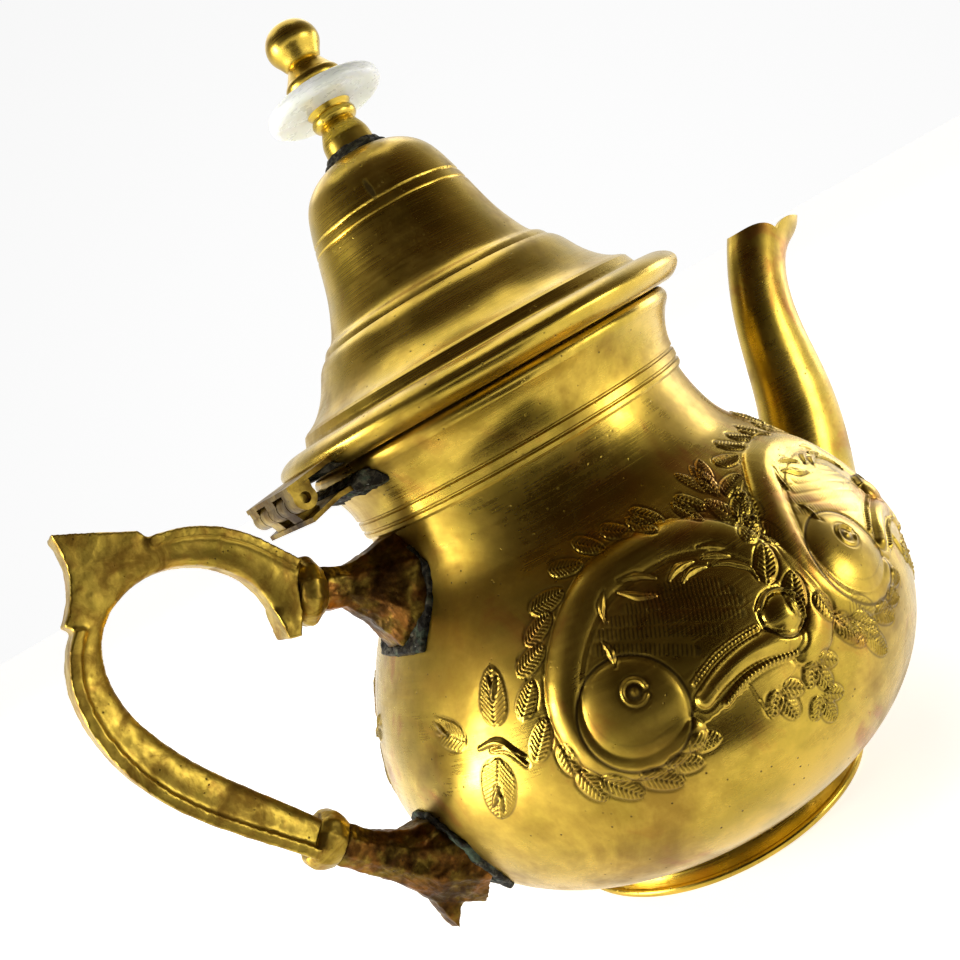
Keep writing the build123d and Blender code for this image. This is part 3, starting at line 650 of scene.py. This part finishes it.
def bow_section(co):
    """Rounds the bow's cheeks down towards the inside of the loop, so its section is a D."""
    curve = cubic_profile(BOW_INSIDE_MM, 0.5) * MM
    gap = np.full(len(co), 1e9)
    for point in curve:
        gap = np.minimum(gap, np.hypot(co[:, 0] - point[0], co[:, 2] - point[1]))
    share = np.clip(gap / (4.6 * MM), 0, 1)
    co = co.copy()
    co[:, 1] *= 0.5 + 0.5 * np.sqrt(1 - (1 - share) ** 2)
    return co


def neck_skin(co):
    """Draws the hinge's solder in to a thin skin over the flare, and sinks its foot into the neck."""
    co = co.copy()
    radius = np.hypot(co[:, 0], co[:, 1])
    neck = np.interp(co[:, 2], np.array(NECK_HEIGHTS_MM) * MM, np.array(NECK_RADII_MM) * MM)
    shown = smoothstep(94.6 * MM, 96.6 * MM, co[:, 2])
    drawn = np.where(radius > neck, neck + 0.75 * shown * (radius - neck), radius) - (1 - shown) * 0.6 * MM
    co[:, :2] *= (drawn / radius)[:, None]
    return co


def trimmed_to(node):
    """A shape that sinks a solder skin into the wall where it spreads too far from the node it holds."""
    count = len(NODES[node].data.vertices)
    points = np.empty(count * 3)
    NODES[node].data.vertices.foreach_get("co", points)
    points = points.reshape(-1, 3)
    low, high = points.min(0), points.max(0)

    def sink(co):
        beyond = np.maximum(low - co, co - high)[:, 1:].max(1) - 0.4 * MM
        depth = smoothstep(0, 1.4 * MM, beyond) * 1.6 * MM
        radius = np.hypot(co[:, 0], co[:, 1])
        co = co.copy()
        co[:, :2] *= (1 - depth / radius)[:, None]
        return co

    return sink


def make_skins():
    """The cast handle, its filed brackets and the lumpy solder, each in place of its CAD node."""
    cast = ((0.10, 2.2), (0.05, 0.8))
    filed = ((0.30, 2.6), (0.12, 0.9))
    blobs = ((0.45, 2.4), (0.22, 0.9))
    worn_copy("handle_bow", "pot", 0.4, cast, shape=bow_section)
    worn_copy("handle_upper_collar", "pot", 0.25, cast)
    worn_copy("handle_lower_ring", "pot", 0.25, cast)
    worn_copy("handle_upper_bracket", "pot", 0.28, filed, 1)
    worn_copy("handle_lower_bracket", "pot", 0.28, filed, 1)
    worn_copy("hinge_body_solder", "pot", 0.26, blobs, shape=neck_skin)
    worn_copy("solder_upper_bracket", "pot", 0.26, blobs, shape=trimmed_to("handle_upper_bracket"))
    worn_copy("solder_lower_bracket", "pot", 0.26, blobs, shape=trimmed_to("handle_lower_bracket"))
    worn_copy("spout_base_solder", "pot", 0.26, blobs)
    for node in ("finial_solder", "hinge_lid_solder"):
        worn_copy(node, "lid", 0.2, ((0.25, 1.6), (0.12, 0.7)))


# ---------------------------------------------------------------- CAD nodes keep their shape
NODE_MATERIALS = {
    "foot_ring": "collar", "neck_collar": "collar", "spout_front_half": "spout", "spout_rear_half": "spout",
    "spout_base_solder": "solder_grey", "lid_dome": "lid", "finial_spool": "finial", "finial_disc": "disc",
    "finial_knob": "finial", "finial_solder": "solder_grey", "finial_rivet": "finial",
    "hinge_lid_leaf": "leaf", "hinge_body_leaf": "leaf", "hinge_pin": "pin", "hinge_body_solder": "solder",
    "hinge_lid_solder": "solder", "handle_bow": "handle", "handle_upper_collar": "handle",
    "handle_upper_bracket": "bracket", "handle_lower_ring": "handle", "handle_lower_bracket": "bracket",
    "solder_upper_bracket": "solder", "solder_lower_bracket": "solder",
}


def dress_nodes():
    """Gives every CAD node its material."""
    for node, key in NODE_MATERIALS.items():
        obj = NODES[node]
        obj.data.materials.clear()
        obj.data.materials.append(MATERIALS[key])


# ---------------------------------------------------------------- studio
def flat_sheet(name, low, high, height):
    """A level rectangle between two corners."""
    verts = [(low[0], low[1], height), (high[0], low[1], height),
             (high[0], high[1], height), (low[0], high[1], height)]
    mesh = bpy.data.meshes.new(name)
    mesh.from_pydata(verts, [], [(0, 1, 2, 3)])
    sheet = bpy.data.objects.new(name, mesh)
    bpy.context.collection.objects.link(sheet)
    return sheet


def make_floor():
    """A wide pale floor that glows a little, so that it runs on into the white of the tent."""
    floor = flat_sheet("floor", (-14.0, -14.0), (14.0, 14.0), 0)
    g = Graph("pale_floor")
    tone = g.mix(g.ramp(g.noise(60, 3), 0.3, 0.7), (0.84, 0.84, 0.83), (0.87, 0.87, 0.86))
    g.shader.inputs["Emission Color"].default_value = (1.0, 1.0, 0.99, 1.0)
    g.shader.inputs["Emission Strength"].default_value = 0.72
    roughness = g.ramp(g.noise(20, 3), 0.3, 0.7, 0.55, 0.65)
    floor.data.materials.append(g.finish(tone, roughness, g.bump(g.noise(1.5, 3), 0.01)))


def make_black_card():
    """A dark card on the floor, unseen by the camera, which the lower belly mirrors."""
    card = flat_sheet("black_card", (-0.36, -0.42), (-0.02, -0.088), 0.0005)
    g = Graph("black_paper")
    tone = g.mix(g.ramp(g.noise(30, 3), 0.3, 0.7), (0.035, 0.02, 0.012), (0.05, 0.03, 0.018))
    roughness = g.ramp(g.noise(12, 3), 0.3, 0.7, 0.7, 0.8)
    card.data.materials.append(g.finish(tone, roughness, g.bump(g.noise(1.5, 3), 0.01)))
    card.visible_camera = False


def area_light(name, place, target, size, power):
    """A rectangular light of a width, height and power that faces a target."""
    data = bpy.data.lights.new(name, "AREA")
    data.shape = "RECTANGLE"
    data.size, data.size_y = size
    data.energy = power
    lamp = bpy.data.objects.new(name, data)
    lamp.location = place
    lamp.rotation_mode = "QUATERNION"
    lamp.rotation_quaternion = (Vector(target) - Vector(place)).to_track_quat("-Z", "Y")
    bpy.context.collection.objects.link(lamp)


VIEW_TURN = -33.0          # the camera looks at the pot from the handle's side of -Y
EYE_DISTANCE = 0.2033
EYE_HEIGHT = 0.1025


def eye_position():
    turn = radians(VIEW_TURN)
    return Vector((sin(turn) * EYE_DISTANCE, -cos(turn) * EYE_DISTANCE, EYE_HEIGHT))


def make_world():
    """A white tent whose opening, where the camera stands, is dark."""
    world = bpy.data.worlds.new("tent")
    bpy.context.scene.world = world
    world.use_nodes = True
    nodes, links = world.node_tree.nodes, world.node_tree.links
    coordinates = nodes.new("ShaderNodeTexCoord")
    towards = nodes.new("ShaderNodeVectorMath")
    towards.operation = "DOT_PRODUCT"
    towards.inputs[1].default_value = (eye_position() - Vector((0, 0, 0.06))).normalized()
    links.new(coordinates.outputs["Generated"], towards.inputs[0])
    share = nodes.new("ShaderNodeMapRange")
    for socket, number in zip(share.inputs[1:5], (-1, 1, 0, 1)):
        socket.default_value = number
    links.new(towards.outputs["Value"], share.inputs[0])
    fall = nodes.new("ShaderNodeValToRGB")
    stops = fall.color_ramp
    stops.elements[0].position, stops.elements[0].color = 0.0, (1, 1, 1, 1)
    stops.elements[1].position, stops.elements[1].color = 1.0, (0.022, 0.011, 0.005, 1)
    for place, tone in ((0.20, (0.90, 0.90, 0.90)), (0.38, (0.27, 0.24, 0.20)), (0.58, (0.10, 0.07, 0.045)),
                        (0.76, (0.040, 0.020, 0.009))):
        stops.elements.new(place).color = (*tone, 1)
    links.new(share.outputs[0], fall.inputs[0])
    links.new(fall.outputs[0], nodes["Background"].inputs["Color"])
    nodes["Background"].inputs["Strength"].default_value = 1.0


def around(turn, height, reach):
    """A place at an azimuth in degrees, a height and a distance from the pot's axis."""
    return (cos(radians(turn)) * reach, sin(radians(turn)) * reach, height)


def make_lights():
    centre = (0, 0, 0.09)
    area_light("left_window", around(163, 0.16, 0.75), centre, (0.24, 0.5), 8.0)
    area_light("right_window", around(-58, 0.09, 0.7), centre, (0.26, 0.16), 1.1)
    area_light("far_right", around(-5, 0.1, 0.7), centre, (0.2, 0.4), 1.3)
    area_light("top_light", around(60, 1.1, 0.5), centre, (1.2, 1.2), 6)


def make_camera():
    """A wide camera close to the pot, rolled so that the pot leans."""
    data = bpy.data.cameras.new("camera")
    data.sensor_width = 36
    data.lens = 36.07
    data.clip_start = 0.01
    camera = bpy.data.objects.new("camera", data)
    bpy.context.collection.objects.link(camera)
    camera.location = eye_position()
    look_at = Vector((-0.0094, 0.0054, 0.0844))
    look = (look_at - camera.location).to_track_quat("-Z", "Y")
    camera.rotation_mode = "QUATERNION"
    camera.rotation_quaternion = look @ Matrix.Rotation(radians(-29.8), 4, "Z").to_quaternion()
    bpy.context.scene.camera = camera


dress_nodes()
make_belly()
make_skins()
make_floor()
make_black_card()
make_world()
make_lights()
make_camera()
bpy.context.scene.view_settings.view_transform = "Standard"
